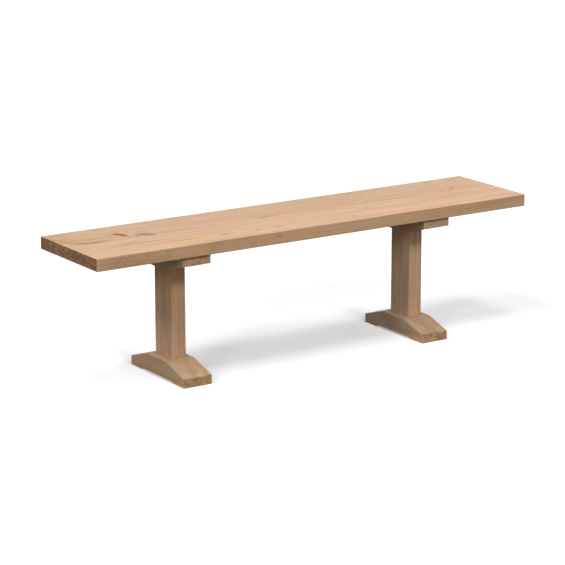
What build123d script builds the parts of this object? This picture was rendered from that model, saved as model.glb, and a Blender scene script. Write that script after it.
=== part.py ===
"""Oak trestle bench: a glued plank seat bolted down on two mortised and wedged trestles.

Millimetres, +Z up. X runs along the seat, Y across it with the front at -Y.
The origin is on the floor, under the middle of the seat.
"""

import os

from build123d import *

# Seat
seat_length = 1600
seat_depth = 350
seat_thickness = 40
seat_height = 450
seat_edge_radius = 2.5
stave_count = 4

# Dowels that keep the staves level while the glue sets
dowel_diameter = 10
dowel_length = 50
dowel_chamfer = 1
dowel_end_room = 1
dowel_end_inset = 120
dowels_in_a_seam = 5

# Trestles, one under each end of the seat
trestle_spacing = 900

# Foot, thick in the middle and sloping down to both ends
foot_width = 100
foot_length = 320
foot_end_height = 30
foot_middle_height = 60
foot_flat_length = 120

# Hollow under the foot, which leaves a pad at each end
pad_length = 60
hollow_height = 6
hollow_ramp = 20

# Cleat under the seat, shaped like the foot turned over
cleat_width = 100
cleat_length = 320
cleat_end_depth = 30
cleat_middle_depth = 60
cleat_flat_length = 120

# Post between foot and cleat
post_width = 50
post_depth = 100

# Eased edges and softened bends of the trestle parts
frame_edge_radius = 2
bend_radius = 8

# Through tenons at both ends of the post, each spread by wedges
tenon_thickness = 30
tenon_width = 80
tenon_shy = 0.5
saw_kerf = 1
wedge_thickness = 4
wedge_length = 42
wedge_count = 2
glue_gap = 0.1

# Bolts that hold the cleat up against the seat
bolt_diameter = 8
bolt_nose = 1
bolt_head_diameter = 17
bolt_head_height = 3.5
bolt_head_chamfer = 0.8
socket_width = 5
socket_depth = 2.5
socket_sides = 6
bolt_spacing_x = 60
bolt_end_inset = 30
bolts_each_way = 2
clamped_depth = 30

washer_diameter = 22
washer_thickness = 1.5
washer_bore_gap = 0.3

# Threaded inserts in the seat, with the threads left smooth
insert_diameter = 12
insert_length = 20
insert_nose = 1
insert_hole_spare = 2
thread_engagement = 18
thread_gap = 0.1

# Slots and recesses in the cleat, which let the seat swell across its depth
slot_side_gap = 0.5
slot_travel = 6
recess_gap = 1

# Heights and places that follow from the sizes above
seat_underside = seat_height - seat_thickness
seat_mid_height = seat_height - seat_thickness / 2
stave_width = seat_depth / stave_count
dowel_pitch = (seat_length - 2 * dowel_end_inset) / (dowels_in_a_seam - 1)
hollow_length = foot_length - 2 * pad_length
cleat_end_low = seat_underside - cleat_end_depth
cleat_low = seat_underside - cleat_middle_depth
tenon_spread = wedge_count * (wedge_thickness - saw_kerf)
wedge_pitch = tenon_width / wedge_count
wedge_places = [(place - (wedge_count - 1) / 2) * wedge_pitch for place in range(wedge_count)]
washer_top = seat_underside - clamped_depth
bolt_head_top = washer_top - washer_thickness
bolt_head_low = bolt_head_top - bolt_head_height
bolt_end = seat_underside + thread_engagement
bolt_spacing_y = cleat_length - 2 * bolt_end_inset
insert_hole_depth = max(insert_length, thread_engagement) + insert_hole_spare
slot_width = bolt_diameter + 2 * slot_side_gap
recess_width = washer_diameter + 2 * recess_gap
trestles = {"left": -trestle_spacing / 2, "right": trestle_spacing / 2}

# The two joints of a post: height of the shoulder, height of the tenon's end, way it points
joints = {
    "foot": (foot_middle_height, hollow_height + tenon_shy, -1),
    "cleat": (cleat_low, seat_underside - tenon_shy, 1),
}


def seam_place(seam):
    """Y of the glue line between two staves, counted from the front edge."""
    return seam * stave_width - seat_depth / 2


def dowel_row():
    """Places of the dowels along one seam."""
    return GridLocations(dowel_pitch, 0, dowels_in_a_seam, 1)


def bolt_grid():
    """Places of the bolts of one trestle, about its middle."""
    return GridLocations(bolt_spacing_x, bolt_spacing_y, bolts_each_way, bolts_each_way)


def draw_taper(root_height, end_height, root_width, end_width, middle=0):
    """Outline on a YZ plane that changes width evenly from one height to another."""
    Polygon(
        (middle - root_width / 2, root_height),
        (middle + root_width / 2, root_height),
        (middle + end_width / 2, end_height),
        (middle - end_width / 2, end_height),
        align=None,
    )


def draw_mortise(shoulder, mouth):
    """Side of a mortise that widens from the post's shoulder to its far mouth."""
    narrow = tenon_width + 2 * glue_gap
    draw_taper(shoulder, mouth, narrow, narrow + tenon_spread)


def save(piece, name):
    """Label a finished piece and write it to its own file."""
    piece.part.label = name
    export_step(piece.part, f"parts/{name}.step")


os.makedirs("parts", exist_ok=True)

# Seat staves, front to back, glued edge to edge
for index in range(stave_count):
    with BuildPart() as stave:
        with BuildSketch(Plane.XZ.offset(-seam_place(index + 1))):
            with Locations((0, seat_mid_height)):
                Rectangle(seat_length, seat_thickness)
            fillet(vertices(), radius=seat_edge_radius)
        extrude(amount=stave_width)

        # The two outer staves carry the eased long edges of the seat
        if index == 0:
            fillet(faces().sort_by(Axis.Y)[0].edges(), radius=seat_edge_radius)
        if index == stave_count - 1:
            fillet(faces().sort_by(Axis.Y)[-1].edges(), radius=seat_edge_radius)

        # Dowel holes in each edge that is glued to a neighbour
        for seam in (index, index + 1):
            if 0 < seam < stave_count:
                with BuildSketch(Plane.XZ.offset(-seam_place(seam))):
                    with Locations((0, seat_mid_height)):
                        with dowel_row():
                            Circle(dowel_diameter / 2 + glue_gap)
                extrude(amount=dowel_length / 2 + dowel_end_room, both=True, mode=Mode.SUBTRACT)

        # Blind holes for the threaded inserts
        for trestle_x in trestles.values():
            with BuildSketch(Plane.XY.offset(seat_underside)):
                with Locations((trestle_x, 0)):
                    with bolt_grid():
                        Circle(insert_diameter / 2 + glue_gap)
            extrude(amount=insert_hole_depth, mode=Mode.SUBTRACT)
    save(stave, f"seat_stave_{index + 1}")

# Dowels, one row in each seam
for seam in range(1, stave_count):
    with BuildPart() as dowels:
        with BuildSketch(Plane.XZ.offset(-seam_place(seam))):
            with Locations((0, seat_mid_height)):
                with dowel_row():
                    Circle(dowel_diameter / 2)
        extrude(amount=dowel_length / 2, both=True)
        chamfer(edges().filter_by(GeomType.CIRCLE), length=dowel_chamfer)
    save(dowels, f"seat_dowels_{seam}")

for side, trestle_x in trestles.items():
    # Foot
    with BuildPart() as foot:
        with BuildSketch(Plane.YZ.offset(trestle_x - foot_width / 2)):
            with BuildLine():
                Polyline(
                    (-foot_length / 2, 0),
                    (-foot_length / 2, foot_end_height),
                    (-foot_flat_length / 2, foot_middle_height),
                    (foot_flat_length / 2, foot_middle_height),
                    (foot_length / 2, foot_end_height),
                    (foot_length / 2, 0),
                    close=True,
                )
            make_face()
            bends = vertices().group_by(Axis.Y)[-1]
            corners = vertices() - bends
            fillet(bends, radius=bend_radius)
            fillet(corners, radius=frame_edge_radius)
        extrude(amount=foot_width)
        for cheek in (faces().sort_by(Axis.X)[0], faces().sort_by(Axis.X)[-1]):
            fillet(cheek.edges(), radius=frame_edge_radius)

        # Hollow between the two pads
        with BuildSketch(Plane.YZ.offset(trestle_x)):
            draw_taper(0, hollow_height, hollow_length, hollow_length - 2 * hollow_ramp)
        extrude(amount=foot_width, both=True, mode=Mode.SUBTRACT)

        with BuildSketch(Plane.YZ.offset(trestle_x)):
            draw_mortise(foot_middle_height, hollow_height)
        extrude(amount=tenon_thickness / 2 + glue_gap, both=True, mode=Mode.SUBTRACT)
    save(foot, f"{side}_foot")

    # Cleat, left square where it meets the seat
    with BuildPart() as cleat:
        with BuildSketch(Plane.YZ.offset(trestle_x - cleat_width / 2)):
            with BuildLine():
                Polyline(
                    (-cleat_length / 2, seat_underside),
                    (-cleat_length / 2, cleat_end_low),
                    (-cleat_flat_length / 2, cleat_low),
                    (cleat_flat_length / 2, cleat_low),
                    (cleat_length / 2, cleat_end_low),
                    (cleat_length / 2, seat_underside),
                    close=True,
                )
            make_face()
            bends = vertices().group_by(Axis.Y)[0]
            corners = vertices().group_by(Axis.Y)[1]
            fillet(bends, radius=bend_radius)
            fillet(corners, radius=frame_edge_radius)
        extrude(amount=cleat_width)
        for cheek in (faces().sort_by(Axis.X)[0], faces().sort_by(Axis.X)[-1]):
            fillet(cheek.edges().sort_by(Axis.Z)[:-1], radius=frame_edge_radius)

        with BuildSketch(Plane.YZ.offset(trestle_x)):
            draw_mortise(cleat_low, seat_underside)
        extrude(amount=tenon_thickness / 2 + glue_gap, both=True, mode=Mode.SUBTRACT)

        # Slots for the bolts, and recesses for their heads
        for top, width in ((seat_underside, slot_width), (washer_top, recess_width)):
            with BuildSketch(Plane.XY.offset(top)):
                with Locations((trestle_x, 0)):
                    with bolt_grid():
                        SlotOverall(width + slot_travel, width, rotation=90)
            extrude(amount=-cleat_middle_depth, mode=Mode.SUBTRACT)
    save(cleat, f"{side}_cleat")

    # Post, with its shoulders on the foot and under the cleat
    with BuildPart() as post:
        with BuildSketch(Plane.XY.offset(foot_middle_height)):
            with Locations((trestle_x, 0)):
                Rectangle(post_width, post_depth)
            fillet(vertices(), radius=frame_edge_radius)
        extrude(amount=cleat_low - foot_middle_height)

        for shoulder, tenon_end, way in joints.values():
            with BuildSketch(Plane.YZ.offset(trestle_x)):
                draw_taper(shoulder, tenon_end, tenon_width, tenon_width + tenon_spread)
            extrude(amount=tenon_thickness / 2, both=True)

            # Saw cuts that the wedges have opened
            with BuildSketch(Plane.YZ.offset(trestle_x)):
                for middle in wedge_places:
                    cut_root = saw_kerf + 2 * glue_gap
                    cut_mouth = wedge_thickness + 2 * glue_gap
                    draw_taper(tenon_end - way * wedge_length, tenon_end, cut_root, cut_mouth, middle)
            extrude(amount=post_width, both=True, mode=Mode.SUBTRACT)
    save(post, f"{side}_post")

    # Wedges in each tenon, their thin edge a glue line short of the end of the saw cut
    for joint, (shoulder, tenon_end, way) in joints.items():
        with BuildPart() as wedges:
            with BuildSketch(Plane.YZ.offset(trestle_x)):
                for middle in wedge_places:
                    thin_edge = tenon_end - way * (wedge_length - glue_gap)
                    draw_taper(thin_edge, tenon_end, saw_kerf, wedge_thickness, middle)
            extrude(amount=tenon_thickness / 2, both=True)
        save(wedges, f"{side}_{joint}_wedges")

    # Bolts with flat socket heads
    with BuildPart() as bolts:
        with BuildSketch(Plane.XY.offset(bolt_head_top)):
            with Locations((trestle_x, 0)):
                with bolt_grid():
                    Circle(bolt_head_diameter / 2)
        extrude(amount=-bolt_head_height)
        chamfer(edges().group_by(Axis.Z)[0], length=bolt_head_chamfer)
        with BuildSketch(Plane.XY.offset(bolt_head_top)):
            with Locations((trestle_x, 0)):
                with bolt_grid():
                    Circle(bolt_diameter / 2)
        extrude(amount=bolt_end - bolt_head_top)
        chamfer(edges().group_by(Axis.Z)[-1], length=bolt_nose)
        with BuildSketch(Plane.XY.offset(bolt_head_low)):
            with Locations((trestle_x, 0)):
                with bolt_grid():
                    RegularPolygon(socket_width / 2, socket_sides, major_radius=False)
        extrude(amount=socket_depth, mode=Mode.SUBTRACT)
    save(bolts, f"{side}_bolts")

    # Washers between the bolt heads and the floors of the recesses
    with BuildPart() as washers:
        with BuildSketch(Plane.XY.offset(bolt_head_top)):
            with Locations((trestle_x, 0)):
                with bolt_grid():
                    Circle(washer_diameter / 2)
                    Circle(bolt_diameter / 2 + washer_bore_gap, mode=Mode.SUBTRACT)
        extrude(amount=washer_thickness)
    save(washers, f"{side}_washers")

    # Threaded inserts, flush with the underside of the seat
    with BuildPart() as inserts:
        with BuildSketch(Plane.XY.offset(seat_underside)):
            with Locations((trestle_x, 0)):
                with bolt_grid():
                    Circle(insert_diameter / 2)
        extrude(amount=insert_length)
        chamfer(edges().group_by(Axis.Z)[-1], length=insert_nose)
        with BuildSketch(Plane.XY.offset(seat_underside)):
            with Locations((trestle_x, 0)):
                with bolt_grid():
                    Circle(bolt_diameter / 2 + thread_gap)
        extrude(amount=insert_length, mode=Mode.SUBTRACT)
    save(inserts, f"{side}_inserts")
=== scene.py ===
import itertools
import math

import bpy
import numpy as np
from mathutils import Matrix, Vector, noise


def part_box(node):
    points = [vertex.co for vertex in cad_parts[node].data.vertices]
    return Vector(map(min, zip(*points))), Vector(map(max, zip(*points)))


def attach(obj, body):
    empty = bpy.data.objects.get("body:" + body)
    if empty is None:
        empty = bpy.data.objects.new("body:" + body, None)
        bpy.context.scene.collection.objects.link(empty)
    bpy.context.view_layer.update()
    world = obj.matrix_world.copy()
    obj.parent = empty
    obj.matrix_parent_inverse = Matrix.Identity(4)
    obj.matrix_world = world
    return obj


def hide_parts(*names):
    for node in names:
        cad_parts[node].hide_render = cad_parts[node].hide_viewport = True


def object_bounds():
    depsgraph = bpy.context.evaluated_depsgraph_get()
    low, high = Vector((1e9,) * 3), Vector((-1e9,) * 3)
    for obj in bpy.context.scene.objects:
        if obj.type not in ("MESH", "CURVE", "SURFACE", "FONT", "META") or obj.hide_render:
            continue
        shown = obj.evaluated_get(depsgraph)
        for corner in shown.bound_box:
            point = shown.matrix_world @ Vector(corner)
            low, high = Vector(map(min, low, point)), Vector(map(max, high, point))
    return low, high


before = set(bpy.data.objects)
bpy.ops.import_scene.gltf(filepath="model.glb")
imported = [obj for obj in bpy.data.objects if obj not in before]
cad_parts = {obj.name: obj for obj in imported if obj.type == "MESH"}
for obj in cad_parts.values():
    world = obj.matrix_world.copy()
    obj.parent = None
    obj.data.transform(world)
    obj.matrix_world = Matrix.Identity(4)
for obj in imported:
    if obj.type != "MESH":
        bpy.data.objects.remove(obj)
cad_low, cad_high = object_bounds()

# The scene is in metres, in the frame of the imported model: +X along the seat, front at -Y, +Z up.
# Wood grain is worked out in millimetres.
MM = 0.001

# The photograph's camera, solved from the outline of the bench
PHOTO_SIDE = 565
FOCAL_PIXELS = 2375.7
SENSOR_WIDTH = 36.0
CAMERA_TARGET = Vector((0.0399, 0.1148, 0.1975))
CAMERA_DISTANCE = 7.6663
CAMERA_AZIMUTH = math.radians(33.418)
CAMERA_TILT = math.radians(14.469)
CAMERA_ROLL = math.radians(-0.078)

# Soft lamps, placed by the bench's shadow and the shade of its faces in the photograph:
# azimuth from +X towards +Y and height over the floor in degrees, then strength
LAMPS = {
    "left": (195, 38, 0.67),
    "left_high": (190, 56, 0.75),
    "left_low": (210, 18, 0.60),
    "overhead": (240, 68, 0.52),
    "front": (270, 38, 1.12),
    "front_low": (315, 12, 0.38),
    "right_high": (0, 56, 0.45),
    "back_low": (90, 24, 0.40),
}
LAMP_SOFTNESS = math.radians(13)
WHITE = (1.0, 1.0, 1.0, 1.0)

# Floor: white to the camera, with enough glow to burn out the thin rim of the shadow,
# and a plain grey in the light that it throws back at the bench
FLOOR_SIDE = 60.0
FLOOR_GLOW = 0.308
FLOOR_COLOUR = (0.965, 0.975, 0.985, 1.0)
FLOOR_BOUNCE = (0.12, 0.12, 0.12, 1.0)

# Grid of the staves: where lines cross the rounded rim, how far apart they are on the flat, the
# share of such a step that is too short to add, and how near to a side a point counts as on it
RIM_SHARES = (0, 1 / 3, 2 / 3)
GRID_ALONG = 0.010
GRID_ACROSS = 0.004
SHORT_STEP = 0.25
ON_SIDE = 0.0001

# Seat edges: their radius, the largest share of it that wear takes off, and how many worn spots
# lie in a metre
SEAT_EDGE = 0.0025
EDGE_WEAR = 0.2
WEAR_DENSITY = 18

# The hairline where two staves meet: half its width and its depth
SEAM_LIP = 0.0004
SEAM_DROP = 0.00025

# How many finer layers a noise has, and the value that it swings around
SOFT_NOISE = 1.0
FINE_NOISE = 2.0
NOISE_MIDDLE = 0.5


class Nodes:
    """Builds the shader of a material or of the world, a node at a time."""

    def __init__(self, owner):
        owner.use_nodes = True
        self.tree = owner.node_tree
        self.tree.nodes.clear()

    def add(self, kind, **settings):
        node = self.tree.nodes.new(kind)
        for name, value in settings.items():
            setattr(node, name, value)
        return node

    def join(self, value, socket):
        """Links a socket to an input, or writes a plain value there."""
        if isinstance(value, bpy.types.NodeSocket):
            self.tree.links.new(value, socket)
        else:
            socket.default_value = value

    def math(self, operation, *values):
        node = self.add("ShaderNodeMath", operation=operation)
        for value, socket in zip(values, node.inputs):
            self.join(value, socket)
        return node.outputs[0]

    def vector(self, operation, *values):
        node = self.add("ShaderNodeVectorMath", operation=operation)
        for value, socket in zip(values, node.inputs):
            self.join(value, socket)
        return node.outputs["Value" if operation == "LENGTH" else "Vector"]

    def scaled(self, vector, factor):
        node = self.add("ShaderNodeVectorMath", operation="SCALE")
        self.join(vector, node.inputs["Vector"])
        self.join(factor, node.inputs["Scale"])
        return node.outputs["Vector"]

    def split(self, vector):
        node = self.add("ShaderNodeSeparateXYZ")
        self.join(vector, node.inputs[0])
        return node.outputs[0], node.outputs[1], node.outputs[2]

    def combine(self, *values):
        node = self.add("ShaderNodeCombineXYZ")
        for value, socket in zip(values, node.inputs):
            self.join(value, socket)
        return node.outputs[0]

    def mix(self, share, first, second):
        """Mixes two colours: they are inputs 6 and 7 of the node, and the mix is output 2."""
        node = self.add("ShaderNodeMix", data_type="RGBA", clamp_factor=True)
        self.join(share, node.inputs["Factor"])
        self.join(first, node.inputs[6])
        self.join(second, node.inputs[7])
        return node.outputs[2]

    def blend(self, share, first, second):
        """Mixes two shaders."""
        node = self.add("ShaderNodeMixShader")
        for value, socket in zip((share, first, second), node.inputs):
            self.join(value, socket)
        return node.outputs[0]

    def diffuse(self, colour):
        node = self.add("ShaderNodeBsdfDiffuse")
        self.join(colour, node.inputs["Color"])
        return node.outputs[0]

    def bump(self, height, strength, distance):
        node = self.add("ShaderNodeBump")
        self.join(strength, node.inputs["Strength"])
        self.join(distance, node.inputs["Distance"])
        self.join(height, node.inputs["Height"])
        return node.outputs["Normal"]

    def tinted(self, share, colour, first_tint, second_tint):
        """The colour under the first tint where share is 0, and under the second where it is 1."""
        first = self.vector("MULTIPLY", colour, first_tint)
        second = self.vector("MULTIPLY", colour, second_tint)
        return self.mix(share, first, second)

    def smooth(self, value, low, high):
        """Rises softly from 0 at low to 1 at high, or falls where low is the larger."""
        node = self.add("ShaderNodeMapRange", interpolation_type="SMOOTHSTEP")
        self.join(value, node.inputs["Value"])
        if low < high:
            node.inputs["From Min"].default_value = low
            node.inputs["From Max"].default_value = high
            return node.outputs["Result"]
        node.inputs["From Min"].default_value = high
        node.inputs["From Max"].default_value = low
        return self.math("SUBTRACT", 1.0, node.outputs["Result"])

    def texture(self, kind, place, sizes, **settings):
        """A texture whose spots have these sizes along the three directions of place."""
        node = self.add(kind, **settings)
        shares = tuple(1 / size for size in sizes)
        self.join(self.vector("MULTIPLY", place, shares), node.inputs["Vector"])
        node.inputs["Scale"].default_value = 1.0
        return node

    def noise(self, place, sizes, detail=FINE_NOISE):
        node = self.texture("ShaderNodeTexNoise", place, sizes, noise_dimensions="3D")
        node.inputs["Detail"].default_value = detail
        return node.outputs["Fac"]

    def three_noises(self, place, sizes, detail=FINE_NOISE):
        """Three noises that don't depend on each other."""
        node = self.texture("ShaderNodeTexNoise", place, sizes, noise_dimensions="3D")
        node.inputs["Detail"].default_value = detail
        return self.split(node.outputs["Color"])

    def cells(self, place, sizes):
        """Distance to the middle of the nearest of scattered cells with these sizes."""
        settings = {"voronoi_dimensions": "3D", "feature": "F1"}
        return self.texture("ShaderNodeTexVoronoi", place, sizes, **settings).outputs["Distance"]

    def attribute(self, name):
        node = self.add("ShaderNodeAttribute", attribute_name=name)
        return node.outputs["Fac"]

    def seen(self, path):
        """1 for rays from the camera, off mirrors or through glass, and 0 for light that spreads."""
        share = path.outputs["Is Camera Ray"]
        for kind in ("Is Glossy Ray", "Is Transmission Ray"):
            share = self.math("MAXIMUM", share, path.outputs[kind])
        return share

    def finish(self, shader, kind="ShaderNodeOutputMaterial"):
        output = self.add(kind)
        self.tree.links.new(shader, output.inputs["Surface"])


# Oak colours, as the share of light that the surface sends back of red, green and blue
LATE_WOOD = (0.715, 0.455, 0.260, 1.0)
EARLY_WOOD = (0.530, 0.310, 0.160, 1.0)
PINK_WOOD = (0.740, 0.435, 0.275, 1.0)
TAN_WOOD = (0.655, 0.420, 0.205, 1.0)
RAY_WOOD = (0.790, 0.555, 0.360, 1.0)
PORE_BROWN = (0.220, 0.110, 0.045, 1.0)
STAIN_BROWN = (0.400, 0.205, 0.090, 1.0)
KNOT_RED = (0.420, 0.190, 0.080, 1.0)
KNOT_BROWN = (0.240, 0.105, 0.040, 1.0)
CRACK_DARK = (0.035, 0.020, 0.012, 1.0)

# What the palest and the darkest streaks do to the colour
PALE_TINT = (1.10, 1.18, 1.31)
DARK_TINT = (0.87, 0.79, 0.66)

# Slow drifts of the colour, towards grey pink and towards orange
COOL_TINT = (0.980, 0.992, 1.026)
WARM_TINT = (1.020, 1.006, 0.974)

# What the cut of the wood does to the colour: nothing, on end grain, on the seat's long edges,
# where it is also painted shade
PLAIN = (1.0, 1.0, 1.0)
END_TINT = (0.78, 0.78, 0.76)
# Painted shade as well as tone: it keeps the seat's long edges darker than its top
SEAT_EDGE_TONE_AND_SHADE = (0.79, 0.77, 0.715)

# Each stave: where its tree's heart lies in millimetres, across and in height, its lean, the seed
# of its pattern and its tones. Its dark end tone is partly oiled end grain and partly painted
# shade on the seat's ends.
STAVES = {
    "seat_stave_1": {"heart": (-118, 345), "lean": (0.006, 0.011), "seed": 27.0,
                     "tint": (1.08, 1.10, 1.18), "end_tone_and_shade": (0.333, 0.255, 0.147)},
    "seat_stave_2": {"heart": (-52, 372), "lean": (-0.010, -0.014), "seed": 47.2,
                     "tint": (1.04, 1.055, 1.13), "end_tone_and_shade": (0.324, 0.246, 0.147)},
    "seat_stave_3": {"heart": (30, 330), "lean": (0.012, 0.009), "seed": 2.3,
                     "tint": (0.96, 0.98, 1.04), "end_tone_and_shade": (0.38, 0.32, 0.23)},
    "seat_stave_4": {"heart": (150, 360), "lean": (-0.008, 0.012), "seed": 9.0,
                     "tint": (0.97, 0.98, 1.04), "end_tone_and_shade": (0.31, 0.23, 0.13)},
}

# The frame is a little darker than the seat, and each piece of it is from another board.
# The side tint is for the left and right faces. The side and end tints are partly the board's own
# tone and partly painted light and shade: lighter sides on the posts and the right foot, darker
# sides on the cleats, as light falls on them.
FRAME_TONES = {
    "left_foot": {"seed": 27.2, "tint": (0.87, 0.91, 1.01), "side_tone_and_shade": (0.98, 0.96, 0.955),
                  "end_tone_and_shade": (0.755, 0.725, 0.62), "contrast": 2.6},
    "right_foot": {"seed": 40.1, "tint": (0.78, 0.82, 0.88), "side_tone_and_shade": (1.09, 1.11, 1.21),
                   "end_tone_and_shade": (0.91, 0.90, 0.92), "contrast": 3.4},
    "left_cleat": {"seed": 47.2, "tint": (0.84, 0.85, 0.85), "side_tone_and_shade": (0.76, 0.80, 0.64),
                   "end_tone_and_shade": (0.93, 0.90, 0.89), "contrast": 1.6},
    "right_cleat": {"seed": 38.3, "tint": (0.84, 0.85, 0.85), "side_tone_and_shade": (0.81, 0.80, 0.77),
                    "end_tone_and_shade": (0.925, 1.01, 1.02), "contrast": 1.6},
    "left_post": {"seed": 37.1, "tint": (0.835, 0.83, 0.85), "side_tone_and_shade": (1.17, 1.14, 1.14),
                  "contrast": 2.4},
    "right_post": {"seed": 26.3, "tint": (0.895, 0.90, 0.92), "side_tone_and_shade": (1.10, 1.175, 1.31),
                   "contrast": 2.4},
}

WEDGE_TONES = {"seed": 14.3, "tint": (0.68, 0.63, 0.60)}

# The cut of each board of a trestle: the axis of its grain, where its tree's heart lies and its lean.
# The heart is placed in millimetres from the middle of the post across the seat's length, then in
# height for the boards that lie, or in depth from the middle of the bench for those that stand.
FRAME_CUTS = {
    "foot": ("y", (-20, -62), (0.02, 0.03)),
    "cleat": ("y", (15, 320), (0.02, -0.02)),
    "post": ("z", (40, 35), (0.02, 0.03)),
    "wedge": ("z", (60, 20), (0.0, 0.0)),
}

# Beech dowels: plain, pale and even
BEECH_HEART = (0, 300)
BEECH_SEED = 23.0
BEECH_CONTRAST = 0.4

# Metals: colour and roughness, the sizes of their blotches and scratches in millimetres, how pale
# the darkest blotch is and how much paler the palest, and what scratches add to the roughness and
# to the relief: its strength, and its depth in millimetres
ZINC = ((0.62, 0.63, 0.65), 0.30)
BRASS = ((0.72, 0.52, 0.25), 0.32)
METAL_BLOTCH_SIZES = (6, 6, 6)
SCRATCH_SIZES = (0.4, 6, 0.4)
METAL_DARKEST = 0.85
METAL_BLOTCH = 0.3
SCRATCH_ROUGHNESS = 0.2
SCRATCH_BUMP = 0.2
SCRATCH_DEPTH = 0.1

# How the rings bend, in millimetres: the size of a bend along the grain and twice across it, and
# how far it reaches
WANDER_SIZES = (620, 110, 110)
WANDER_REACH = 24
RIPPLE_SIZES = (130, 26, 26)
RIPPLE_REACH = 3.2

# Sizes of the oak's features in millimetres, along the grain and twice across it
SEAT_PATCHES = (420, 60, 60)
FRAME_PATCHES = (340, 15, 15)
SHADE_SIZES = (260, 34, 34)
STREAK_SIZES = (380, 9, 9)
FIBRE_SIZES = (60, 0.7, 0.7)
PORE_SIZES = (15, 0.55, 0.55)
END_BLOTCH_SIZES = (30, 14, 9)
KNOT_SIZES = (11, 5, 5)
STAIN_SIZES = (16, 6, 6)

# Rays: their sizes around the heart, away from it and along the grain, and how many of the first
# unit go into a radian
RAY_SIZES = (1.5, 16, 8)
RAY_TURN = 80

# How uneven end grain is
SEAT_BLOTCH = 2.7
FRAME_BLOTCH = 1.2

# Growth rings: how far apart they are, the shares of a ring where early wood is full and where it
# has faded, how many rings their place drifts and over how many, and how many rings share a tone
RING_PITCH = 3.6
EARLY_FULL = 0.06
EARLY_END = 0.50
RING_DRIFT = 0.9
DRIFT_RINGS = 5
TONE_RINGS = 1.6

# Between which values each feature comes up: of the distance to the middle of a pore or ray, of
# the noise of a patch or spot, and of how far inside a knot or crack the place lies
PORE_RANGE = (0.36, 0.20)
RAY_RANGE = (0.34, 0.20)
PINK_RANGE = (0.42, 0.62)
TAN_RANGE = (0.48, 0.66)
WARM_RANGE = (0.40, 0.60)
SPOT_RANGE = (0.30, 0.62)
KNOT_RANGE = (0.42, 0.60)
KNOT_HEART_RANGE = (0.50, 0.85)
CRACK_RANGE = (0.35, 0.50)

# How squarely a face has to look along an axis before it starts to take the tint of that side, and
# before it has taken it whole
FACING_RANGE = (0.55, 0.90)

# How much of its colour each feature lends
EARLY_STRENGTH = 0.60
PINK_STRENGTH = 0.70
TAN_STRENGTH = 0.60
RAY_STRENGTH = 0.30
PORE_STRENGTH = 0.50

# Pores outside the early wood are this much weaker
LATE_PORES = 0.2

# Where the colour stands between the pale and the dark tint, and how far each kind of band moves it
HALF_DARK = 0.5
SHADE_REACH = 0.9
STREAK_REACH = 1.0
RING_TONE_REACH = 0.7
FIBRE_REACH = 0.35

# How ragged the rims of knots and cracks are, as a share of how far they reach
KNOT_RAGGED = 0.9
CRACK_RAGGED = 0.3

# Relief in millimetres: pores and early wood lie lower, fibres stand up. Then its strength.
PORE_DEPTH = 0.22
EARLY_DEPTH = 0.05
FIBRE_HEIGHT = 0.05
OAK_BUMP = 0.8

# Oiled surface: its shine and roughness, and what early wood, streaks and knots add to that
OIL_SHINE = 0.10
ROUGHNESS = 0.40
EARLY_ROUGHNESS = 0.06
STREAK_ROUGHNESS = 0.12
KNOT_ROUGHNESS = 0.2

# How far apart two boards lie in the noise for each unit of their seeds
SEED_STEPS = (917.0, 331.0, 143.0)
SEED_RING_STEP = 7.0

# The axes in the order of the grain: along it, across it, through the thickness
GRAIN_ORDER = {"x": (0, 1, 2), "y": (1, 0, 2), "z": (2, 0, 1)}


def growth_rings(n, own, axes, heart, lean, seed):
    """Early wood, the tone of each ring, and the place as seen from the heart, for the rays.

    The rings are bent by slow wandering, small ripples and the knots.
    """
    along, across, through = axes
    wander = n.three_noises(own, WANDER_SIZES, SOFT_NOISE)
    ripple = n.three_noises(own, RIPPLE_SIZES, SOFT_NOISE)
    bent = []
    for i, start in enumerate((across, through)):
        slow = n.math("MULTIPLY_ADD", wander[i], WANDER_REACH, start)
        quick = n.math("MULTIPLY_ADD", ripple[i], RIPPLE_REACH, slow)
        middle = heart[i] + (WANDER_REACH + RIPPLE_REACH) / 2
        bent.append(n.math("ADD", n.math("MULTIPLY_ADD", along, lean[i], -middle), quick))
    radius = n.vector("LENGTH", n.combine(bent[0], bent[1], 0.0))
    radius = n.math("ADD", radius, n.attribute("swirl"))
    turn = n.math("MULTIPLY", n.math("ARCTAN2", bent[1], bent[0]), RAY_TURN)

    drift_place = n.combine(radius, seed * SEED_RING_STEP, 0.0)
    drift = n.noise(drift_place, (DRIFT_RINGS * RING_PITCH, 1, 1), SOFT_NOISE)
    count = n.math("MULTIPLY_ADD", drift, RING_DRIFT, n.math("DIVIDE", radius, RING_PITCH))
    share = n.math("FRACT", count)
    start_of_early = n.smooth(share, 0.0, EARLY_FULL)
    early = n.math("MULTIPLY", start_of_early, n.smooth(share, EARLY_END, EARLY_FULL))
    tone = n.noise(n.combine(count, seed, 0.0), (TONE_RINGS, 1, 1), SOFT_NOISE)
    return early, tone, n.combine(turn, radius, along)


def clear_wood(n, own, early, bands, patches, contrast):
    """The colour of plain wood: early wood, pink and tan patches, bands, and a drift of warmth."""
    pink, tan, warm = n.three_noises(own, patches)
    colour = LATE_WOOD
    for value, strength, wood in (
        (early, EARLY_STRENGTH, EARLY_WOOD),
        (n.smooth(pink, *PINK_RANGE), PINK_STRENGTH, PINK_WOOD),
        (n.smooth(tan, *TAN_RANGE), TAN_STRENGTH * contrast, TAN_WOOD),
    ):
        colour = n.mix(n.math("MULTIPLY", value, strength), colour, wood)
    dark = HALF_DARK
    for value, reach in bands:
        dark = n.math("MULTIPLY_ADD", n.math("SUBTRACT", value, NOISE_MIDDLE), reach, dark)
    colour = n.tinted(dark, colour, PALE_TINT, DARK_TINT)
    return n.tinted(n.smooth(warm, *WARM_RANGE), colour, COOL_TINT, WARM_TINT)


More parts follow.
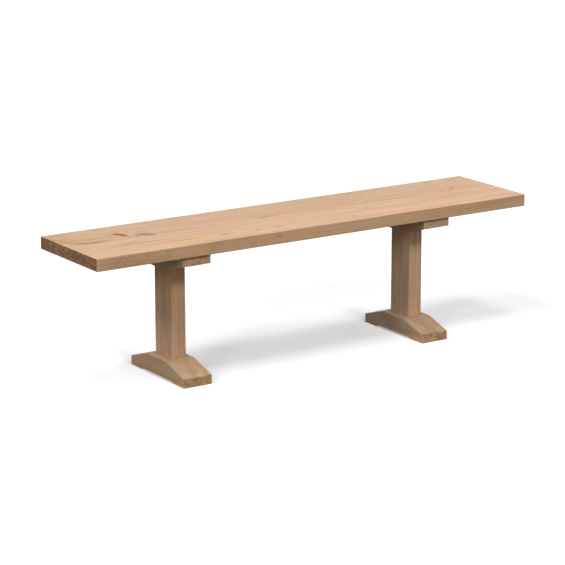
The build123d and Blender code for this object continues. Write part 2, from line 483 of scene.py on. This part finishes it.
def add_marks(n, own, colour):
    """Spotty stains, and knots that are red at the rim, brown inside and cracked in the middle.

    Returns the colour, and how strongly there is a knot.
    """
    spots = n.smooth(n.noise(own, STAIN_SIZES), *SPOT_RANGE)
    ragged = n.math("SUBTRACT", n.noise(own, KNOT_SIZES), NOISE_MIDDLE)
    depth = n.math("MULTIPLY_ADD", ragged, KNOT_RAGGED, n.attribute("depth"))
    knot = n.math("MULTIPLY", n.smooth(depth, *KNOT_RANGE), n.attribute("knot"))
    crack = n.math("MULTIPLY_ADD", ragged, CRACK_RAGGED, n.attribute("crack"))
    colour = n.mix(n.math("MULTIPLY", spots, n.attribute("stain")), colour, STAIN_BROWN)
    colour = n.mix(knot, colour, n.mix(n.smooth(depth, *KNOT_HEART_RANGE), KNOT_RED, KNOT_BROWN))
    return n.mix(n.smooth(crack, *CRACK_RANGE), colour, CRACK_DARK), knot


def oak(name, grain, heart, lean, seed, tint=PLAIN, end_tone_and_shade=END_TINT, side_tone_and_shade=PLAIN,
        contrast=1.0, patches=SEAT_PATCHES, blotches=FRAME_BLOTCH):
    """Oak with its grain along one axis, cut from a tree whose heart runs at the place named.

    heart is where the tree's middle lies, across and through the piece, in millimetres.
    lean is how far it strays from the grain's axis for each millimetre along it.
    tint colours the whole piece, the end tint its end grain and the side tint the faces that look
    across the grain; these two are the wood's tone there and also painted light and shade, faces
    made lighter or darker as light falls on them. contrast is how strong the wide dark bands and tan
    patches are, patches is the size of the pink and tan ones, and blotches is how uneven the end
    grain is.
    """
    material = bpy.data.materials.new(name)
    n = Nodes(material)
    coordinates = n.add("ShaderNodeTexCoord")
    place = n.split(n.scaled(coordinates.outputs["Object"], 1 / MM))
    axes = [place[i] for i in GRAIN_ORDER[grain]]
    own = n.vector("ADD", n.combine(*axes), tuple(seed * step for step in SEED_STEPS))

    # Pores, rays, fibres and the bands of the colour
    early, ring_tone, around = growth_rings(n, own, axes, heart, lean, seed)
    pores = n.smooth(n.cells(own, PORE_SIZES), *PORE_RANGE)
    pores = n.math("MULTIPLY", pores, n.math("MULTIPLY_ADD", early, 1 - LATE_PORES, LATE_PORES))
    rays = n.smooth(n.cells(around, RAY_SIZES), *RAY_RANGE)
    shade = n.noise(own, SHADE_SIZES)
    streak = n.noise(own, STREAK_SIZES)
    fibre = n.noise(own, FIBRE_SIZES, SOFT_NOISE)
    bands = (
        (shade, SHADE_REACH * contrast),
        (streak, STREAK_REACH),
        (ring_tone, RING_TONE_REACH),
        (fibre, FIBRE_REACH),
    )

    colour = clear_wood(n, own, early, bands, patches, contrast)
    colour = n.mix(n.math("MULTIPLY", rays, RAY_STRENGTH), colour, RAY_WOOD)
    colour = n.mix(n.math("MULTIPLY", pores, PORE_STRENGTH), colour, PORE_BROWN)
    colour = n.vector("MULTIPLY", colour, tint)

    # End grain drinks more oil and is darker, and the sides show another cut of the rings.
    # Both face tints also carry painted light and shade: faces made lighter or darker as light falls
    facing = n.split(n.vector("ABSOLUTE", coordinates.outputs["Normal"]))
    end, side = (n.smooth(facing[axis], *FACING_RANGE) for axis in GRAIN_ORDER[grain][:2])
    # Tone of the cut plus painted light and shade on the end and side faces
    for share, face_tone_and_shade in ((end, end_tone_and_shade), (side, side_tone_and_shade)):
        colour = n.mix(share, colour, n.vector("MULTIPLY", colour, face_tone_and_shade))
    blotch = n.math("SUBTRACT", n.noise(own, END_BLOTCH_SIZES), NOISE_MIDDLE)
    colour = n.scaled(colour, n.math("MULTIPLY_ADD", n.math("MULTIPLY", blotch, end), blotches, 1.0))
    colour, knot = add_marks(n, own, colour)

    # Relief and shine
    height = n.math("MULTIPLY_ADD", pores, -PORE_DEPTH, n.math("MULTIPLY", fibre, FIBRE_HEIGHT))
    height = n.math("MULTIPLY_ADD", early, -EARLY_DEPTH, height)
    rough = ROUGHNESS
    for value, more in ((early, EARLY_ROUGHNESS), (streak, STREAK_ROUGHNESS), (knot, KNOT_ROUGHNESS)):
        rough = n.math("MULTIPLY_ADD", value, more, rough)
    shader = n.add("ShaderNodeBsdfPrincipled")
    shader.inputs["Specular IOR Level"].default_value = OIL_SHINE
    n.join(colour, shader.inputs["Base Color"])
    n.join(rough, shader.inputs["Roughness"])
    n.join(n.bump(height, OAK_BUMP, MM), shader.inputs["Normal"])
    n.finish(shader.outputs["BSDF"])
    return material


def metal(name, colour, roughness):
    """Plated or turned metal, with faint blotches and fine scratches."""
    material = bpy.data.materials.new(name)
    n = Nodes(material)
    coordinates = n.add("ShaderNodeTexCoord")
    place = n.scaled(coordinates.outputs["Object"], 1 / MM)
    scratch = n.noise(place, SCRATCH_SIZES)
    light = n.math("MULTIPLY_ADD", n.noise(place, METAL_BLOTCH_SIZES), METAL_BLOTCH, METAL_DARKEST)
    rough = n.math("MULTIPLY_ADD", scratch, SCRATCH_ROUGHNESS, roughness)
    shader = n.add("ShaderNodeBsdfPrincipled")
    shader.inputs["Metallic"].default_value = 1.0
    n.join(n.scaled(colour, light), shader.inputs["Base Color"])
    n.join(rough, shader.inputs["Roughness"])
    n.join(n.bump(scratch, SCRATCH_BUMP, SCRATCH_DEPTH * MM), shader.inputs["Normal"])
    n.finish(shader.outputs["BSDF"])
    return material


def grid_lines(low, high, rim_low, rim_high, step, fine=()):
    """Coordinates from low to high: three steps across each rim, finer ones in the fine stretches.

    fine holds (from, to, step) stretches.
    """
    lines = [low + rim_low * share for share in RIM_SHARES]
    place = low + rim_low
    while place < high - rim_high - SHORT_STEP * step:
        lines.append(place)
        place += min([size for start, end, size in fine if start <= place < end], default=step)
    lines.append(high - rim_high)
    return lines + [high - rim_high * share for share in reversed(RIM_SHARES)]


def block(xs, ys, zs):
    """Points and faces of a box's surface, cut along these lines."""
    lines = (xs, ys, zs)
    last = [len(line) - 1 for line in lines]
    points, known, faces = [], {}, []

    def at(place):
        if place not in known:
            known[place] = len(points)
            points.append([line[i] for line, i in zip(lines, place)])
        return known[place]

    for axis in range(3):
        first, second = (axis + 1) % 3, (axis + 2) % 3
        for side in (0, last[axis]):
            for i, j in itertools.product(range(last[first]), range(last[second])):
                corners = [(i, j), (i + 1, j), (i + 1, j + 1), (i, j + 1)]
                if side == 0:
                    corners.reverse()
                face = []
                for a, b in corners:
                    place = [side] * 3
                    place[first], place[second] = a, b
                    face.append(at(tuple(place)))
                faces.append(face)
    return np.array(points), faces


def ease_edges(points, low, high, ease_low, ease_high, seed):
    """Rounds the edges of a box and wears them unevenly. An ease of zero leaves that side square."""
    low, high = np.array(low), np.array(high)
    ease_low, ease_high = np.array(ease_low), np.array(ease_high)
    core = np.clip(points, low + ease_low, high - ease_high)
    away = points - core
    reach = np.where(away < 0, ease_low, ease_high)
    share = np.divide(away, reach, out=np.zeros_like(away), where=reach > 0)
    length = np.linalg.norm(share, axis=1)
    corner = np.clip((length - 1) / (math.sqrt(2) - 1), 0, 1)
    share /= np.maximum(length, 1)[:, None]
    wear = np.array([0.5 + noise.noise(Vector(p) * WEAR_DENSITY + Vector((seed, 0, 0))) for p in points])
    return core + reach * share * (1 - corner * wear * EDGE_WEAR)[:, None]


def make_piece(name, points, faces, material, replaced):
    """A mesh piece that stands for CAD nodes and rides with the bench."""
    mesh = bpy.data.meshes.new(name)
    mesh.from_pydata([tuple(p) for p in points], [], faces)
    mesh.polygons.foreach_set("use_smooth", [True] * len(mesh.polygons))
    mesh.update()
    piece = bpy.data.objects.new(name, mesh)
    bpy.context.scene.collection.objects.link(piece)
    mesh.materials.append(material)
    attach(piece, "root")
    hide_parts(*replaced)
    return piece


# Marks on the seat, in millimetres: the line that each follows, on the top from above (x, y) or on
# the front edge (x, z), its half width, how brown the stain and the knot are, how far it is open,
# and how far it bends the rings (swirl). What a mark leaves out is zero.
MARKS = [
    {"face": "top", "line": [(-606, 78), (-598, 70), (-591, 60), (-585, 44), (-583, 28)],
     "half_width": 11.0, "stain": 0.75, "knot": 0.75, "open": 0.8, "swirl": 9.0},
    {"face": "top", "line": [(-541, 37), (-531, 28), (-519, 19), (-508, 10), (-500, 2)],
     "half_width": 9.0, "stain": 0.75, "knot": 0.70, "open": 0.55, "swirl": 8.0},
    {"face": "top", "line": [(-557, 18), (-545, 22), (-533, 24)],
     "half_width": 4.0, "stain": 0.5, "knot": 0.5},
    {"face": "top",
     "line": [(-797, 110), (-784, 82), (-770, 52), (-752, 24), (-716, 9), (-690, 12), (-655, 14)],
     "half_width": 6.0, "stain": 0.95, "swirl": 6.0},
    {"face": "top", "line": [(-798, 122), (-786, 96), (-773, 68), (-762, 46)],
     "half_width": 10.0, "stain": 0.55},
    {"face": "top", "line": [(-751, 26), (-744, 21), (-737, 18)],
     "half_width": 4.0, "stain": 0.6, "knot": 0.7},
    {"face": "top", "line": [(-722, 14), (-706, 9), (-690, 10)],
     "half_width": 4.5, "stain": 0.6, "knot": 0.80, "open": 0.3, "swirl": 2.0},
    {"face": "top", "line": [(676, 52), (664, 40), (648, 26), (640, 12)],
     "half_width": 4.0, "stain": 0.4, "knot": 0.15, "swirl": 6.0},
    {"face": "top", "line": [(-795, 140), (-770, 85), (-735, 30)],
     "half_width": 22.0, "stain": 0.22},
    {"face": "top", "line": [(-440, -40), (-395, -48), (-350, -45)],
     "half_width": 22.0, "stain": 0.10},
    {"face": "top", "line": [(490, -35), (560, -40), (620, -35)],
     "half_width": 26.0, "stain": 0.12},
    {"face": "top", "line": [(300, 22), (350, 12), (420, 16), (455, 12)],
     "half_width": 5.0, "stain": 0.3, "swirl": 3.0},
    {"face": "front", "line": [(-760, 430), (-650, 428), (-540, 430)],
     "half_width": 16.0, "stain": 0.40},
    {"face": "front", "line": [(540, 430), (650, 428), (760, 430)],
     "half_width": 16.0, "stain": 0.15},
    {"face": "front", "line": [(-404, 444), (-398, 436), (-400, 424), (-412, 418)],
     "half_width": 1.6, "stain": 0.35, "swirl": 4.0},
    {"face": "front", "line": [(-660, 434), (-648, 432), (-640, 430)],
     "half_width": 2.2, "stain": 0.30, "knot": 0.25, "swirl": 4.0},
    {"face": "front", "line": [(-170, 436), (-160, 434), (-152, 433)],
     "half_width": 2.2, "stain": 0.25, "knot": 0.25, "swirl": 4.0},
]

# What the oak reads from the mesh at each point
MARK_KEYS = ("stain", "knot", "depth", "crack", "swirl")

# In millimetres: how far stain and swirl spread, how far away a mark is still worked out, the
# largest step of the grid over a knot, and half the width and the depth of an open crack
STAIN_REACH = 5.0
SWIRL_REACH = 22.0
MARK_MARGIN = 88.0
KNOT_GRID = 2.0
CRACK_HALF_WIDTH = 1.6
CRACK_DEPTH = 1.6

# Shares of a mark's half width: how far a wide stain spreads, and how wide the tips of a mark are
WIDE_STAIN_REACH = 0.5
TIP_SHARE = 0.2

# How many steps of the grid go into the half width of a knot, and of a stain
KNOT_STEPS = 3
STAIN_STEPS = 2

# How deep inside a mark its rim counts, from 0 far outside to 1, and how fast a knot comes up
RIM_DEPTH = 0.5
KNOT_STEEPNESS = 4


def along_line(flat, line):
    """Distance of each point from a line of several stretches, and its share of the way along."""
    line = np.array(line, float)
    lengths = np.linalg.norm(np.diff(line, axis=0), axis=1)
    starts = np.concatenate([[0], np.cumsum(lengths)])
    distance, way = np.full(len(flat), np.inf), np.zeros(len(flat))
    for start, end, length, done in zip(line[:-1], line[1:], lengths, starts):
        share = np.clip((flat - start) @ (end - start) / length**2, 0, 1)
        here = np.linalg.norm(flat - (start + share[:, None] * (end - start)), axis=1)
        closer = here < distance
        distance[closer] = here[closer]
        way[closer] = ((done + share * length) / starts[-1])[closer]
    return distance, way


def mark_fields(points, faces_of):
    """How strongly each mark stains, darkens, opens or bends the wood at each point."""
    fields = {key: np.zeros(len(points)) for key in MARK_KEYS}
    for mark in MARKS:
        knot, opened, swirl = (mark.get(key, 0.0) for key in ("knot", "open", "swirl"))
        flat = points[:, [0, 1] if mark["face"] == "top" else [0, 2]] / MM
        line = np.array(mark["line"], float)
        near = (flat > line.min(0) - MARK_MARGIN) & (flat < line.max(0) + MARK_MARGIN)
        near = near.all(1) & faces_of[mark["face"]]
        if not near.any():
            continue
        flat = flat[near]
        distance, way = along_line(flat, line)
        taper = np.maximum(np.sqrt(np.clip(1 - (2 * way - 1) ** 2, 0, 1)), TIP_SHARE)
        width = mark["half_width"] * taper
        depth = np.clip(RIM_DEPTH + (width - distance) / (2 * mark["half_width"]), 0, 1)
        reach = max(STAIN_REACH, WIDE_STAIN_REACH * mark["half_width"])
        rim = np.exp(-np.clip(distance - width, 0, None) / reach)
        gap = np.clip(1 - distance / (2 * CRACK_HALF_WIDTH * taper), 0, 1)
        values = {
            "stain": mark["stain"] * rim,
            "knot": knot * np.clip(KNOT_STEEPNESS * depth, 0, 1),
            "depth": depth if knot else np.zeros(len(flat)),
            "crack": opened * gap,
            "swirl": swirl * np.exp(-((distance / SWIRL_REACH) ** 2)),
        }
        for key, value in values.items():
            fields[key][near] = np.maximum(fields[key][near], value)
    return fields


def give_fields(piece, fields):
    """Stores the marks' fields on the mesh for the oak to read."""
    for key, values in fields.items():
        attribute = piece.data.attributes.new(key, "FLOAT", "POINT")
        attribute.data.foreach_set("value", values.astype(np.float32))


def fine_stretches(low, high):
    """Where a stave's grid is finer, along x, y and z, because a mark lies there."""
    stretches = ([], [], [])
    for mark in MARKS:
        line = np.array(mark["line"], float) * MM
        start, end = line.min(0) - SWIRL_REACH * MM, line.max(0) + SWIRL_REACH * MM
        size = mark["half_width"] / STAIN_STEPS
        if mark.get("knot"):
            size = min(KNOT_GRID, mark["half_width"] / KNOT_STEPS)
        second = 1 if mark["face"] == "top" else 2
        inside = start[1] < high[second] and end[1] > low[second]
        if mark["face"] == "front":
            inside = inside and low[1] < cad_low.y + SEAT_EDGE
        if inside:
            stretches[0].append((start[0], end[0], size * MM))
            stretches[second].append((start[1], end[1], size * MM))
    return stretches


def build_staves():
    """The four staves of the seat, with eased outer edges, hairline seams and open knots."""
    for name, wood in STAVES.items():
        low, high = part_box(name)
        front = low.y - cad_low.y < ON_SIDE
        back = cad_high.y - high.y < ON_SIDE
        fine = fine_stretches(low, high)
        rim_front = SEAT_EDGE if front else SEAM_LIP
        rim_back = SEAT_EDGE if back else SEAM_LIP
        points, faces = block(
            grid_lines(low.x, high.x, SEAT_EDGE, SEAT_EDGE, GRID_ALONG, fine[0]),
            grid_lines(low.y, high.y, rim_front, rim_back, GRID_ACROSS, fine[1]),
            grid_lines(low.z, high.z, SEAT_EDGE, SEAT_EDGE, GRID_ACROSS, fine[2]),
        )
        top = points[:, 2] > high.z - ON_SIDE
        bottom = points[:, 2] < low.z + ON_SIDE
        outer_front = points[:, 1] < cad_low.y + ON_SIDE
        seam = np.zeros(len(points), bool)
        if not front:
            seam |= points[:, 1] < low.y + ON_SIDE
        if not back:
            seam |= points[:, 1] > high.y - ON_SIDE
        ease_low = (SEAT_EDGE, SEAT_EDGE if front else 0, SEAT_EDGE)
        ease_high = (SEAT_EDGE, SEAT_EDGE if back else 0, SEAT_EDGE)
        points = ease_edges(points, low, high, ease_low, ease_high, wood["seed"])
        fields = mark_fields(points, {"top": top, "front": outer_front})
        points[top, 2] -= fields["crack"][top] * CRACK_DEPTH * MM
        points[seam & top, 2] -= SEAM_DROP
        points[seam & bottom, 2] += SEAM_DROP
        material = oak("oak_" + name, "x", side_tone_and_shade=SEAT_EDGE_TONE_AND_SHADE, blotches=SEAT_BLOTCH, **wood)
        piece = make_piece("oak_" + name, points, faces, material, [name])
        give_fields(piece, fields)


def dress(node, material):
    """Gives a CAD node a finished material."""
    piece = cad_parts[node]
    piece.data.materials.clear()
    piece.data.materials.append(material)
    for polygon in piece.data.polygons:
        polygon.material_index = 0


def trestle_oak(name, board, middle, **tones):
    """Oak for one board of the trestle whose post stands at middle along the seat."""
    grain, heart, lean = FRAME_CUTS[board]
    return oak(name, grain, (middle + heart[0], heart[1]), lean, **tones)


def build_trestles():
    """Oak for the boards and wedges of both trestles."""
    for side in ("left", "right"):
        low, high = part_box(f"{side}_post")
        middle = (low.x + high.x) / 2 / MM
        for board in ("foot", "cleat", "post"):
            node = f"{side}_{board}"
            tones = FRAME_TONES[node]
            dress(node, trestle_oak("oak_" + node, board, middle, patches=FRAME_PATCHES, **tones))
        wedge = trestle_oak(f"oak_{side}_wedge", "wedge", middle, **WEDGE_TONES)
        dress(f"{side}_foot_wedges", wedge)
        dress(f"{side}_cleat_wedges", wedge)


def build_metal():
    """Plated bolts and washers, and brass inserts."""
    zinc = metal("zinc_plate", *ZINC)
    brass = metal("insert_brass", *BRASS)
    for side in ("left", "right"):
        dress(f"{side}_bolts", zinc)
        dress(f"{side}_washers", zinc)
        dress(f"{side}_inserts", brass)


def build_dowels():
    """Beech for the dowels in the three glue lines."""
    beech = oak("beech_dowel", "y", BEECH_HEART, (0.0, 0.0), BEECH_SEED, contrast=BEECH_CONTRAST)
    for seam in (1, 2, 3):
        dress(f"seat_dowels_{seam}", beech)


def build_floor():
    """A wide white floor that keeps the bench's soft shadow. Seen from below it is clear."""
    half = FLOOR_SIDE / 2
    mesh = bpy.data.meshes.new("floor")
    corners = [(-half, -half, 0.0), (half, -half, 0.0), (half, half, 0.0), (-half, half, 0.0)]
    mesh.from_pydata(corners, [], [(0, 1, 2, 3)])
    floor = bpy.data.objects.new("floor", mesh)
    bpy.context.scene.collection.objects.link(floor)
    material = bpy.data.materials.new("floor_white")
    mesh.materials.append(material)
    n = Nodes(material)
    path = n.add("ShaderNodeLightPath")
    glow = n.add("ShaderNodeEmission")
    glow.inputs["Strength"].default_value = FLOOR_GLOW
    shown = n.add("ShaderNodeAddShader")
    n.join(n.diffuse(FLOOR_COLOUR), shown.inputs[0])
    n.join(glow.outputs[0], shown.inputs[1])
    either = n.blend(n.seen(path), n.diffuse(FLOOR_BOUNCE), shown.outputs[0])
    clear = n.add("ShaderNodeBsdfTransparent")
    side = n.add("ShaderNodeNewGeometry")
    from_below = n.math("MULTIPLY", side.outputs["Backfacing"], path.outputs["Is Camera Ray"])
    n.finish(n.blend(from_below, either, clear.outputs[0]))


def build_room():
    """A white background for the camera and for reflections. It lights nothing."""
    world = bpy.data.worlds.new("room")
    bpy.context.scene.world = world
    n = Nodes(world)
    backdrop = n.add("ShaderNodeBackground")
    backdrop.inputs["Color"].default_value = WHITE
    n.join(n.seen(n.add("ShaderNodeLightPath")), backdrop.inputs["Strength"])
    n.finish(backdrop.outputs[0], "ShaderNodeOutputWorld")


def build_lamps():
    """Suns that shine from the places named in the table of lamps."""
    for name, (azimuth, height, strength) in LAMPS.items():
        lamp = bpy.data.lights.new(name, "SUN")
        lamp.energy = strength
        lamp.angle = LAMP_SOFTNESS
        holder = bpy.data.objects.new(name, lamp)
        around, above = math.radians(azimuth), math.radians(height)
        level = math.cos(above)
        came_from = Vector((math.cos(around) * level, math.sin(around) * level, math.sin(above)))
        holder.rotation_mode = "QUATERNION"
        holder.rotation_quaternion = came_from.to_track_quat("Z", "Y")
        bpy.context.scene.collection.objects.link(holder)


def build_camera():
    """The camera that took the photograph."""
    forward = Vector((
        math.sin(CAMERA_AZIMUTH) * math.cos(CAMERA_TILT),
        math.cos(CAMERA_AZIMUTH) * math.cos(CAMERA_TILT),
        -math.sin(CAMERA_TILT),
    ))
    level = Vector((math.cos(CAMERA_AZIMUTH), -math.sin(CAMERA_AZIMUTH), 0.0))
    above = level.cross(forward)
    right = level * math.cos(CAMERA_ROLL) + above * math.sin(CAMERA_ROLL)
    up = above * math.cos(CAMERA_ROLL) - level * math.sin(CAMERA_ROLL)
    data = bpy.data.cameras.new("camera")
    data.sensor_width = SENSOR_WIDTH
    data.lens = SENSOR_WIDTH * FOCAL_PIXELS / PHOTO_SIDE
    data.clip_end = 2 * FLOOR_SIDE
    camera = bpy.data.objects.new("camera", data)
    turned = Matrix((right, up, -forward)).transposed().to_4x4()
    camera.matrix_world = Matrix.Translation(CAMERA_TARGET - forward * CAMERA_DISTANCE) @ turned
    bpy.context.scene.collection.objects.link(camera)
    bpy.context.scene.camera = camera


build_camera()
build_room()
build_floor()
build_lamps()
build_staves()
build_trestles()
build_metal()
build_dowels()
bpy.context.scene.view_settings.view_transform = "Standard"
